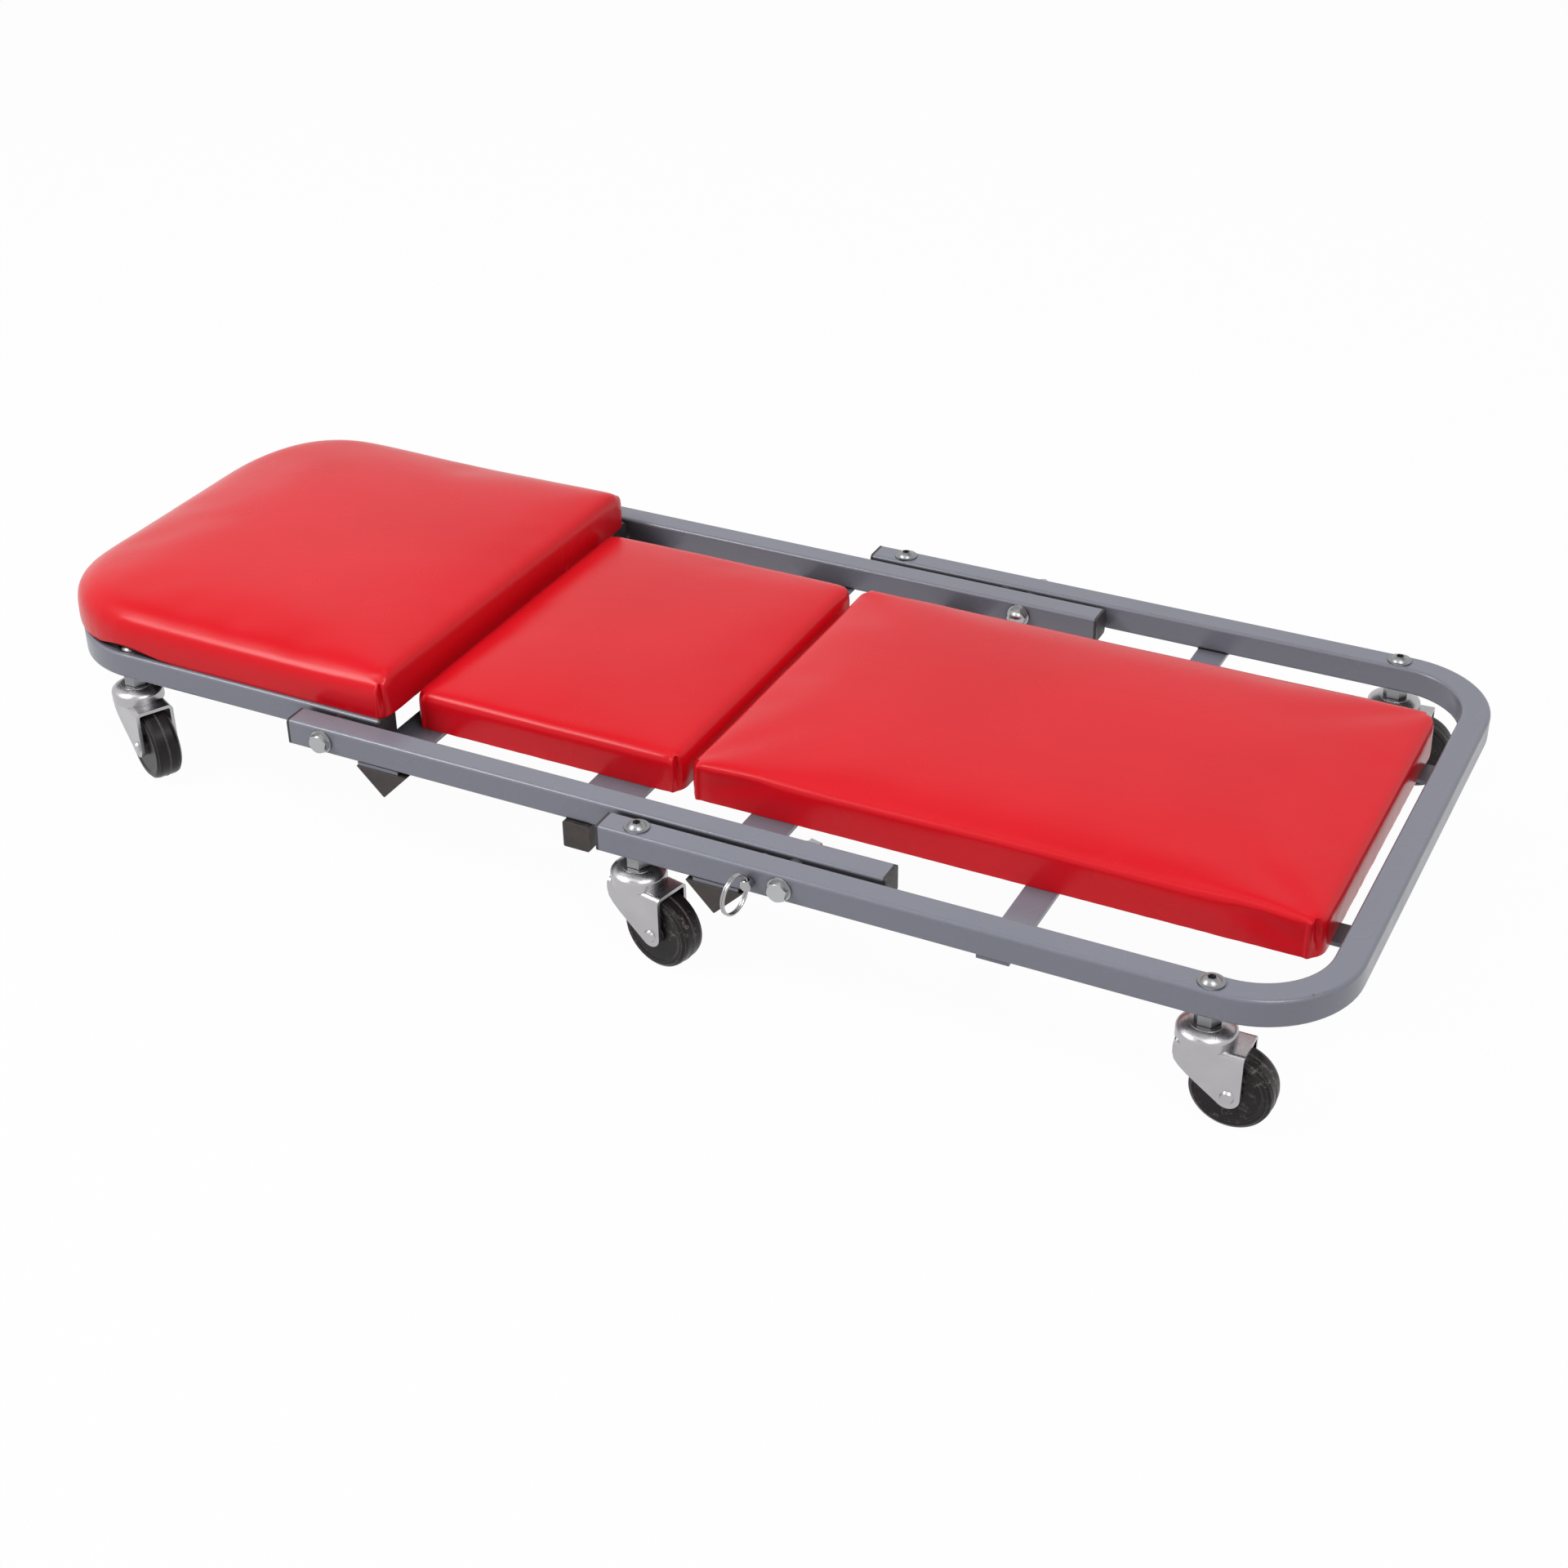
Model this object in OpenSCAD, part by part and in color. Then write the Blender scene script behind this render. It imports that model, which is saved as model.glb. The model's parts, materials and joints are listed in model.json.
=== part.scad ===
// Folding creeper stool. It lies flat as a six-wheel creeper and folds up
// in a Z to make a low stool. Three frames of square tube stand inside one
// another: the foot frame outside, the link between, the head frame inside.
// X runs from the head end to the foot end, Y across, Z up from the floor.
// The near side is -Y and the far side is +Y.

/* [Overall] */
// Overall length, head pad edge to foot end tube
overall_l = 1016; // [980:1:1060]
// Height of the tube tops above the floor
tube_top_z = 97; // [94:0.5:104]

/* [Square tube] */
// Outer size of the square tube
tube_s = 20; // [18:0.5:22]
// Wall of the tube
tube_wall = 1.5; // [1:0.1:2]
// Outer corner radius of the tube section
tube_corner_r = 2.5; // [2:0.1:3.5]
// Gap between neighbouring frames, filled by a spacer at each pivot
frame_gap = 5; // [4:0.5:7]

/* [Foot frame] */
// Overall width of the foot frame
foot_w = 450; // [430:1:470]
// Length of the foot frame
foot_l = 492; // [480:1:500]
// Centre line radius of the foot frame's bends
foot_bend_r = 60; // [50:1:70]
// Inner caster, measured from the open tube end
foot_caster_in = 24; // [22:1:30]
// Outer caster, measured from the open tube end
foot_caster_out = 414; // [400:1:420]

/* [Link] */
// Length of the link tubes
link_l = 457; // [450:1:462]
// Distance between the two pivots
link_span = 370; // [366:1:374]
// Foot pivot, measured from the foot frame's open end
pivot_in = 133; // [128:1:138]
// Link tube left over beyond the foot pivot
link_tail = 60; // [54:1:64]
// Fold angle of each pivot, set by the wedge blocks
fold_angle = 135; // [130:1:140]

/* [Head frame] */
// Length of head frame left over beyond its pivot
head_tail = 30; // [27:0.5:31]
// Head frame from its pivot to its closed end
head_reach = 269; // [264:1:275]
// Centre line radius of the head frame's bends
head_bend_r = 64; // [58:1:70]

/* [Strips and blocks] */
// Thickness of the flat cross strips
strip_t = 3; // [2:0.5:4]
// Width of the strip that carries a pair of wedge blocks
stop_strip_w = 33; // [28:1:34]
// Width of the strip under the middle pad
mid_strip_w = 42; // [30:1:46]
// Centre of the middle pad's strip, back from the foot frame's open end
mid_strip_back = 28; // [25:1:40]
// Width of the light strip under the long pad
foot_strip_w = 22; // [18:1:28]
// Centre of the light strip, measured from the open tube end
foot_strip_in = 278; // [260:1:300]
// Width of each tongue between the long pad and the end tube
tongue_w = 22; // [16:1:28]
// Distance of each tongue from the middle
tongue_y = 105; // [90:1:115]
// Height of a wedge block under its strip
wedge_h = 20.5; // [18:0.5:21]
// Air left at a wedge face when a pivot reaches its stop
stop_air = 0.3; // [0.2:0.1:0.6]
// Side of the square bump block under the link
bump_s = 20; // [16:1:22]
// How far a bump block stands out past the link tube
bump_out = 3; // [1:0.5:4]

/* [Pads] */
// Width of the long and middle pads
pad_w = 282; // [270:1:290]
// Width of the head pad
head_pad_w = 344; // [330:1:348]
// Height of the pad side over its board
pad_side_h = 23; // [18:1:26]
// Height of the head pad side over its board
head_side_h = 27; // [22:1:32]
// Rise of a pad's middle over its edge
pad_crown = 6; // [3:0.5:9]
// Thickness of the boards under the pads
board_t = 6; // [5:0.5:9]
// How far a board's edge stays inside its pad
board_inset = 3; // [2:0.5:5]
// Corner radius of the head pad's round end
head_pad_r = 95; // [70:1:105]
// Corner radius of the other pad corners
pad_r = 14; // [10:1:20]
// Gap between neighbouring pads at their ends
pad_gap = 5; // [4:0.5:7]

/* [Casters] */
// Wheel diameter
wheel_d = 54; // [50:0.5:55]
// Wheel width
wheel_w = 20; // [17:0.5:21]
// Distance from swivel axis to wheel axle
trail = 20; // [16:0.5:23]
// Sheet thickness of the pressed fork
fork_t = 2.5; // [2:0.1:3]
// Side clearance between wheel and fork leg
wheel_side = 2; // [1:0.25:3]
// Radius of the domed bearing cup
cup_r = 19; // [18:0.5:21]
// Radius of the swivel stem
stem_r = 4; // [3.5:0.1:4.5]
// Radius of the washer under the stem's button head
screw_head_r = 8.5; // [7.5:0.5:9.5]
// Radius of the wheel axle
axle_r = 3; // [2.5:0.1:3.5]
// Running clearance of every shaft in its hole
run_clear = 0.06; // [0.04:0.01:0.09]

/* [Pivots and lock pins] */
// Radius of a pivot bolt
bolt_r = 4; // [3.5:0.1:4.5]
// Side air between parts that turn on each other
side_air = 0.3; // [0.2:0.05:0.5]
// Lock pin, back from the foot pivot
pin_back = 21; // [20.5:0.5:23]
// Radius of a lock pin
pin_r = 3; // [2.5:0.1:3]
// Travel of a lock pin from drawn to pushed home
pin_travel = 2.8; // [2.4:0.1:3.2]
// How far a lock pin stands out when pushed home
pin_out = 5; // [4.5:0.1:7]
// Radius of a lock pin's outer end
pin_end_r = 4; // [3.6:0.1:4.6]
// Radius of the flange that keeps a lock pin in
pin_flange_r = 7.8; // [6:0.1:8.5]
// Outer radius of the split ring
ring_r = 14.2; // [13:0.1:16]
// Wire radius of the split ring
ring_wire = 0.85; // [0.7:0.05:0.95]

/* [Hidden] */
$fn = 48;
foot_end_x = overall_l / 2;
foot_open_x = foot_end_x - foot_l;
foot_pivot_x = foot_open_x + pivot_in;
head_pivot_x = foot_pivot_x - link_span;
link_end_x = foot_pivot_x + link_tail;
link_start_x = link_end_x - link_l;
head_open_x = head_pivot_x + head_tail;
head_end_x = head_pivot_x - head_reach;
axis_z = tube_top_z - tube_s / 2;
tube_low_z = tube_top_z - tube_s;
strip_low_z = tube_low_z - strip_t;
foot_out_y = foot_w / 2;
foot_mid_y = foot_out_y - tube_s / 2;
link_out_y = foot_out_y - tube_s - frame_gap;
link_mid_y = link_out_y - tube_s / 2;
head_out_y = link_out_y - tube_s - frame_gap;
head_mid_y = head_out_y - tube_s / 2;
foot_bend_x = foot_end_x - tube_s / 2 - foot_bend_r;
head_bend_x = head_end_x + tube_s / 2 + head_bend_r;
head_caster_x = head_bend_x + 1;
tube_in = tube_s - 2 * tube_wall;
tube_in_r = tube_corner_r - tube_wall;
plug_flange = 2;
plug_depth = 12;
eps = 0.01;

// Where a folded tube's flat side crosses the underside of a strip
lean = fold_angle - 90;
wedge_dx = (tube_s / 2 + (tube_s / 2 + strip_t) * sin(lean)) / cos(lean) + stop_air / cos(lean);
wedge_run = wedge_h * tan(lean);
foot_wedge_x = foot_pivot_x - wedge_dx;
link_wedge_x = head_pivot_x + wedge_dx;
foot_stop_x = foot_wedge_x - 3 - stop_strip_w / 2;
link_stop_x = link_wedge_x + 0.7 + stop_strip_w / 2;
mid_strip_x = foot_open_x - mid_strip_back;
foot_strip_x = foot_open_x + foot_strip_in;
bump_x = mid_strip_x - 3;

// Pad ends
head_pad_x0 = -overall_l / 2;
head_pad_x1 = head_pivot_x + 35;
mid_pad_x0 = head_pad_x1 + 6;
mid_pad_x1 = foot_open_x + 15;
long_pad_x0 = mid_pad_x1 + pad_gap;
long_pad_x1 = foot_end_x - 31;

// Caster heights
axle_z = wheel_d / 2;
fork_top_z = wheel_d + 1.6;
cup_top_z = tube_low_z - 8;
nut_low_z = cup_top_z + side_air;
fork_gap = wheel_w / 2 + wheel_side;
stem_bore_r = stem_r + run_clear;

// Swivel rest angles, as the casters happen to stand
swing_inner_near = -12;
swing_inner_far = 35;
swing_outer_near = 0;
swing_outer_far = 3;
swing_head_near = -28;
swing_head_far = -20;

pin_x = foot_pivot_x - pin_back;
pin_tip_y = link_out_y + side_air;
pin_nose = pin_travel + side_air;
pin_flange_t = 1.4;
pin_end_y = foot_out_y + pin_out + pin_travel;
eye_r = 2;
eye_y = pin_end_y - eye_r - 0.6;
ring_mid_r = ring_r - ring_wire;
ring_turn = -8;

// Square with rounded corners, centred
module rounded_square(size, r) {
    square([size, size - 2 * r], center = true);
    square([size - 2 * r, size], center = true);
    for (i = [-1, 1], j = [-1, 1])
        translate([i * (size / 2 - r), j * (size / 2 - r)]) circle(r);
}

// Straight bar of the given section along +X from x0 to x1
module bar_x(x0, x1, y, size, r) {
    translate([x0, y, axis_z]) rotate([90, 0, 90]) linear_extrude(x1 - x0) rounded_square(size, r);
}

// Straight bar of the given section along +Y
module bar_y(x, y0, y1, size, r) {
    translate([x, y1, axis_z]) rotate([90, 0, 0]) linear_extrude(y1 - y0) rounded_square(size, r);
}

// Solid U of square section: two legs, two quarter bends and the end bar.
// dir is 1 when the closed end looks toward +X and -1 when it looks to -X.
module u_bar(x_open, x_end, mid_y, bend_r, dir, size, r) {
    bend_x = x_end - dir * (tube_s / 2 + bend_r);
    for (side = [-1, 1]) {
        bar_x(min(x_open, bend_x), max(x_open, bend_x), side * mid_y, size, r);
        translate([bend_x, side * (mid_y - bend_r), axis_z])
            mirror([dir < 0 ? 1 : 0, 0, 0]) mirror([0, side < 0 ? 1 : 0, 0])
                rotate_extrude(angle = 90, $fn = 96) translate([bend_r, 0]) rounded_square(size, r);
    }
    bar_y(x_end - dir * tube_s / 2, -(mid_y - bend_r), mid_y - bend_r, size, r);
}

// Bent square tube with its wall
module u_tube(x_open, x_end, mid_y, bend_r, dir) {
    difference() {
        u_bar(x_open, x_end, mid_y, bend_r, dir, tube_s, tube_corner_r);
        u_bar(x_open - dir, x_end, mid_y, bend_r, dir, tube_in, tube_in_r);
    }
}

// Bore across the tubes, along Y, on both sides
module cross_bore(x, r) {
    translate([x, 0, axis_z]) rotate([90, 0, 0]) cylinder(h = foot_w + 20, r = r, center = true);
}

// Bore up through a tube
module up_bore(x, y, r) {
    translate([x, y, tube_low_z - 10]) cylinder(h = tube_s + 20, r = r);
}

// Flat strip across the frame, welded under the tubes
module cross_strip(x, width, half_y) {
    translate([x - width / 2, -half_y, strip_low_z]) cube([width, 2 * half_y, strip_t]);
}

module foot_frame() {
    color("slategray") difference() {
        union() {
            u_tube(foot_open_x, foot_end_x, foot_mid_y, foot_bend_r, 1);
            cross_strip(foot_stop_x, stop_strip_w, foot_out_y - 1);
            cross_strip(foot_strip_x, foot_strip_w, foot_out_y - 2);
            for (side = [-1, 1])
                translate([long_pad_x1 - 28, side * tongue_y - tongue_w / 2, strip_low_z])
                    cube([foot_end_x - 8 - (long_pad_x1 - 28), tongue_w, strip_t]);
        }
        cross_bore(foot_pivot_x, bolt_r + run_clear);
        cross_bore(pin_x, pin_r + run_clear);
        for (side = [-1, 1], x = [foot_caster_in, foot_caster_out])
            up_bore(foot_open_x + x, side * foot_mid_y, stem_bore_r);
    }
}

module link_frame() {
    color("slategray") difference() {
        union() {
            for (side = [-1, 1]) difference() {
                bar_x(link_start_x, link_end_x, side * link_mid_y, tube_s, tube_corner_r);
                bar_x(link_start_x - 1, link_end_x + 1, side * link_mid_y, tube_in, tube_in_r);
            }
            cross_strip(link_stop_x, stop_strip_w, link_out_y - 1);
            cross_strip(mid_strip_x, mid_strip_w, link_mid_y - 2);
        }
        cross_bore(foot_pivot_x, bolt_r + run_clear);
        cross_bore(head_pivot_x, bolt_r + run_clear);
        for (side = [-1, 1]) translate([pin_x, side * link_out_y, axis_z])
            rotate([90, 0, 0]) cylinder(h = tube_s, r = pin_r + run_clear, center = true);
    }
}

module head_frame() {
    color("slategray") difference() {
        u_tube(head_open_x, head_end_x, head_mid_y, head_bend_r, -1);
        cross_bore(head_pivot_x, bolt_r + run_clear);
        for (side = [-1, 1]) up_bore(head_caster_x, side * head_mid_y, stem_bore_r);
    }
}

// Ribbed plastic plug; dir is the way its flange looks along X
module end_plug(x, y, dir) {
    color([0.09, 0.085, 0.085]) translate([x, y, axis_z]) mirror([dir < 0 ? 1 : 0, 0, 0]) rotate([90, 0, 90]) {
        linear_extrude(plug_flange) rounded_square(tube_s, tube_corner_r);
        translate([0, 0, -plug_depth]) linear_extrude(plug_depth) difference() {
            rounded_square(tube_in - 0.6, tube_in_r);
            rounded_square(tube_in - 4, tube_in_r);
        }
        for (z = [-plug_depth + 2, -plug_depth + 6])
            translate([0, 0, z]) linear_extrude(1) difference() {
                rounded_square(tube_in - 0.1, tube_in_r);
                rounded_square(tube_in - 3, tube_in_r);
            }
    }
}

module foot_plug_near() { end_plug(foot_open_x, -foot_mid_y, -1); }
module foot_plug_far() { end_plug(foot_open_x, foot_mid_y, -1); }
module link_plug_head_near() { end_plug(link_start_x, -link_mid_y, -1); }
module link_plug_head_far() { end_plug(link_start_x, link_mid_y, -1); }
module link_plug_foot_near() { end_plug(link_end_x, -link_mid_y, 1); }
module link_plug_foot_far() { end_plug(link_end_x, link_mid_y, 1); }
module head_plug_near() { end_plug(head_open_x, -head_mid_y, 1); }
module head_plug_far() { end_plug(head_open_x, head_mid_y, 1); }

// Three-cornered stop block under a strip. Its face on the pivot side lies
// flat on the folded tube. dir is the way from the block to its pivot.
module wedge_block(x_face, dir, y0, y1, side) {
    color([0.13, 0.115, 0.11]) translate([x_face, side * (y0 + y1) / 2, strip_low_z]) mirror([dir > 0 ? 1 : 0, 0, 0])
        rotate([90, 0, 0]) linear_extrude(y1 - y0, center = true)
            polygon([[0, 0], [2 * wedge_run, 0], [wedge_run + 0.6, -wedge_h], [wedge_run - 0.6 * tan(lean), -wedge_h + 0.6]]);
}

module foot_wedge_near() { wedge_block(foot_wedge_x, 1, link_out_y - tube_s - 1, foot_out_y, -1); }
module foot_wedge_far() { wedge_block(foot_wedge_x, 1, link_out_y - tube_s - 1, foot_out_y, 1); }
module link_wedge_near() { wedge_block(link_wedge_x, -1, head_out_y - tube_s - 1, link_out_y, -1); }
module link_wedge_far() { wedge_block(link_wedge_x, -1, head_out_y - tube_s - 1, link_out_y, 1); }

// Square bump block under the outer half of a link tube
module bump_block(side) {
    len = link_out_y + bump_out - (link_mid_y - 1.5);
    color([0.12, 0.11, 0.11]) translate([bump_x, side * (link_mid_y - 1.5 + len / 2), tube_low_z - bump_s / 2])
        rotate([90, 0, 0]) linear_extrude(len, center = true) rounded_square(bump_s, 1.2);
}

module bump_block_near() { bump_block(-1); }
module bump_block_far() { bump_block(1); }

// Hexagon prism along Z, given across its flats
module hex(flats, h) {
    cylinder(h = h, d = flats / cos(30), $fn = 6);
}

// Pivot bolt laid along Y with its washer-faced hex head at y_head outside
module pivot_bolt(x, y_head, y_tip, side) {
    color("silver") translate([x, 0, axis_z]) mirror([0, side > 0 ? 1 : 0, 0])
        translate([0, -y_head, 0]) rotate([90, 0, 0]) {
            cylinder(h = 1.4, r = bolt_r * 2.1);
            translate([0, 0, 1.4]) intersection() {
                rotate(18) hex(13, 5);
                union() {
                    cylinder(h = 4, r = 8);
                    translate([0, 0, 4]) cylinder(h = 1, r1 = 7.4, r2 = 6.3);
                }
            }
            translate([0, 0, y_tip - y_head]) cylinder(h = y_head - y_tip + eps, r = bolt_r);
        }
}

module foot_bolt_near() { pivot_bolt(foot_pivot_x, foot_out_y, link_out_y - tube_s - 6, -1); }
module foot_bolt_far() { pivot_bolt(foot_pivot_x, foot_out_y, link_out_y - tube_s - 6, 1); }
module head_bolt_near() { pivot_bolt(head_pivot_x, link_out_y, head_out_y - tube_s - 6, -1); }
module head_bolt_far() { pivot_bolt(head_pivot_x, link_out_y, head_out_y - tube_s - 6, 1); }

// Turned spacer in the gap between two frames
module spacer(x, y_out, side) {
    color("gainsboro") translate([x, -y_out, axis_z]) mirror([0, 0, 0])
        translate([0, side > 0 ? 2 * y_out : 0, 0]) rotate([side > 0 ? 90 : -90, 0, 0]) difference() {
            cylinder(h = frame_gap - side_air, r = 8);
            translate([0, 0, -1]) cylinder(h = frame_gap + 2, r = bolt_r + run_clear);
        }
}

module foot_spacer_near() { spacer(foot_pivot_x, foot_out_y - tube_s, -1); }
module foot_spacer_far() { spacer(foot_pivot_x, foot_out_y - tube_s, 1); }
module head_spacer_near() { spacer(head_pivot_x, link_out_y - tube_s, -1); }
module head_spacer_far() { spacer(head_pivot_x, link_out_y - tube_s, 1); }

// Lock nut with a domed end on the inner side of a tube
module dome_nut(x, y_face, side) {
    color("silver") translate([x, side * (y_face - side_air), axis_z]) rotate([side > 0 ? 90 : -90, 0, 0]) difference() {
        union() {
            cylinder(h = 1.2, r = 8.6);
            translate([0, 0, 1.2]) rotate(11) hex(13, 5);
            translate([0, 0, 5.8]) intersection() {
                translate([0, 0, -3.4]) sphere(r = 6.4, $fn = 48);
                cylinder(h = 5, r = 6);
            }
        }
        translate([0, 0, -1]) cylinder(h = 1 + 6 - side_air, r = bolt_r);
    }
}

module foot_nut_near() { dome_nut(foot_pivot_x, link_out_y - tube_s, -1); }
module foot_nut_far() { dome_nut(foot_pivot_x, link_out_y - tube_s, 1); }
module head_nut_near() { dome_nut(head_pivot_x, head_out_y - tube_s, -1); }
module head_nut_far() { dome_nut(head_pivot_x, head_out_y - tube_s, 1); }

// Lock pin, drawn back so that its tip just clears the link tube. A flange in
// the gap keeps it in, and its outer end is drilled across for the split ring.
module lock_pin(side, roll) {
    button_y = foot_out_y + pin_travel + 0.2;
    shank_y = pin_tip_y + pin_nose;
    color("silver") translate([pin_x, 0, axis_z]) mirror([0, side > 0 ? 1 : 0, 0]) rotate([90, 0, 0]) difference() {
        rotate_extrude() polygon([
            [0, pin_tip_y], [pin_r * 0.4, pin_tip_y], [pin_r * 0.67, shank_y - 0.8], [pin_r * 0.67, shank_y],
            [pin_flange_r, shank_y], [pin_flange_r, shank_y + pin_flange_t], [pin_r, shank_y + pin_flange_t],
            [pin_r, button_y], [pin_end_r, button_y], [pin_end_r, pin_end_y - 0.4], [pin_end_r - 0.4, pin_end_y], [0, pin_end_y]]);
        translate([0, 0, eye_y]) rotate(roll) rotate([90, 0, 0]) cylinder(h = 3 * pin_end_r, r = eye_r, center = true);
    }
}

module lock_pin_near() { lock_pin(-1, 0); }
module lock_pin_far() { lock_pin(1, 90); }

// Split ring: two touching turns of wire about its own axis
module ring_coil() {
    color("silver") rotate_extrude($fn = 64)
        for (s = [-1, 1]) translate([ring_mid_r, s * ring_wire * 0.9]) circle(ring_wire, $fn = 16);
}

// The near ring stands out from its pin, the far one hangs down
module split_ring_near() {
    translate([pin_x, -eye_y, axis_z]) rotate(ring_turn) translate([0, -ring_mid_r, 0]) rotate([0, 90, 0]) ring_coil();
}
module split_ring_far() {
    translate([pin_x, eye_y, axis_z - ring_mid_r]) rotate([90, 0, 0]) ring_coil();
}

// Points round a rectangle with its own radius at the head end and foot end
function corner_arc(cx, cy, r, a0, n) = [for (i = [0 : n]) [cx + r * cos(a0 + 90 * i / n), cy + r * sin(a0 + 90 * i / n)]];
function pad_outline(x0, x1, half_w, r0, r1, inset, n) = let (
    a = x0 + inset, b = x1 - inset, w = half_w - inset,
    p = max(r0 - inset, 1), q = max(r1 - inset, 1)) concat(
        corner_arc(b - q, w - q, q, 0, n), corner_arc(a + p, w - p, p, 90, n),
        corner_arc(a + p, -w + p, p, 180, n), corner_arc(b - q, -w + q, q, 270, n));

// Cushion with drawn-in lower sides, rounded top edges and a crowned top.
// Each level is an inset of the outline at its own height.
module cushion(x0, x1, half_w, r0, r1, z0, side_h, crown) {
    n = 7;
    round_r = side_h * 0.42;
    bulge = 1.6;
    top_steps = 6;
    reach = min(half_w, (x1 - x0) / 2) - 8;
    side_levels = [for (t = [0, 0.3, 0.58]) [bulge * pow(1 - t / 0.58, 2), t * side_h]];
    edge_levels = [for (a = [22.5 : 22.5 : 67.5]) [round_r * (1 - cos(a)), side_h - round_r + round_r * sin(a)]];
    top_levels = [for (k = [0 : top_steps]) let (s = k / top_steps)
        [round_r + (reach - round_r) * s * s * 0.98, side_h + crown * (1 - pow(1 - s, 2))]];
    levels = concat(side_levels, edge_levels, top_levels);
    count = 4 * (n + 1);
    pts = [for (l = levels) for (p = pad_outline(x0, x1, half_w, r0, r1, l[0], n)) [p[0], p[1], z0 + l[1]]];
    last = len(levels) - 1;
    walls = [for (k = [0 : last - 1]) for (i = [0 : count - 1]) let (j = (i + 1) % count)
        [k * count + i, (k + 1) * count + i, (k + 1) * count + j, k * count + j]];
    polyhedron(pts, concat([[for (i = [0 : count - 1]) i]], walls,
        [[for (i = [count - 1 : -1 : 0]) last * count + i]]), convexity = 4);
}

// Flat board under a pad
module pad_board(x0, x1, half_w, r0, r1, z0) {
    translate([0, 0, z0]) linear_extrude(board_t) {
        b = board_inset;
        p = r0 - b;
        q = r1 - b;
        w = half_w - b;
        translate([x0 + b + p, -w]) square([x1 - x0 - 2 * b - p - q, 2 * w]);
        translate([x0 + b, -w + p]) square([p + 1, 2 * (w - p)]);
        translate([x1 - b - q - 1, -w + q]) square([q + 1, 2 * (w - q)]);
        for (s = [-1, 1]) {
            translate([x0 + b + p, s * (w - p)]) circle(p);
            translate([x1 - b - q, s * (w - q)]) circle(q);
        }
    }
}

module long_board() { color([0.12, 0.11, 0.10]) pad_board(long_pad_x0, long_pad_x1, pad_w / 2, pad_r, pad_r + 8, tube_low_z); }
module mid_board() { color([0.12, 0.11, 0.10]) pad_board(mid_pad_x0, mid_pad_x1, pad_w / 2, pad_r, pad_r, tube_low_z); }
// The head board lies on the frame and is notched round the caster screws
module head_board() {
    color([0.12, 0.11, 0.10]) difference() {
        pad_board(head_pad_x0, head_pad_x1, head_pad_w / 2, head_pad_r, pad_r, tube_top_z);
        for (side = [-1, 1]) translate([head_caster_x, side * head_mid_y, tube_top_z - 1]) cylinder(h = board_t + 2, r = screw_head_r + 0.5);
    }
}
module long_pad() {
    color([0.80, 0.07, 0.11])
        cushion(long_pad_x0, long_pad_x1, pad_w / 2, pad_r, pad_r + 8, tube_low_z + board_t, pad_side_h, pad_crown);
}
module mid_pad() {
    color([0.80, 0.07, 0.11])
        cushion(mid_pad_x0, mid_pad_x1, pad_w / 2, pad_r, pad_r, tube_low_z + board_t, pad_side_h, pad_crown);
}
module head_pad() {
    color([0.80, 0.07, 0.11])
        cushion(head_pad_x0, head_pad_x1, head_pad_w / 2, head_pad_r, pad_r, tube_top_z + board_t, head_side_h, pad_crown + 2);
}

// Swivel stem: button head over a washer, shank through the tube, hex nut
// under the tube, and a riveted flange that carries the fork.
module caster_stem(x, y) {
    color("silver") translate([x, y, 0]) {
        difference() {
            union() {
                translate([0, 0, tube_top_z]) cylinder(h = 1.2, r = screw_head_r);
                translate([0, 0, tube_top_z + 1.2]) intersection() {
                    cylinder(h = 3.4, r = 6.6);
                    translate([0, 0, -4.6]) sphere(r = 8, $fn = 48);
                }
            }
            translate([0, 0, tube_top_z + 1.6]) hex(5, 5);
        }
        translate([0, 0, nut_low_z]) hex(15, tube_low_z - nut_low_z);
        translate([0, 0, fork_top_z + 3]) cylinder(h = tube_top_z + 0.5 - fork_top_z - 3, r = stem_r);
        translate([0, 0, fork_top_z + 3]) cylinder(h = 3, r = 8);
    }
}

// Tangent point on the leg's lower round for a line from p, on the given side
function tangent_angle(p, c, r, s) = let (d = norm(p - c), a = atan2(p[1] - c[1], p[0] - c[0])) a + s * acos(r / d);

// Arch in the plane across the fork: square foot, two rounded top corners
module arch(half, top, r) {
    translate([-half, 0]) square([2 * half, top - r]);
    translate([-half + r, 0]) square([2 * (half - r), top]);
    for (s = [-1, 1]) translate([s * (half - r), top - r]) circle(r, $fn = 24);
}

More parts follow.
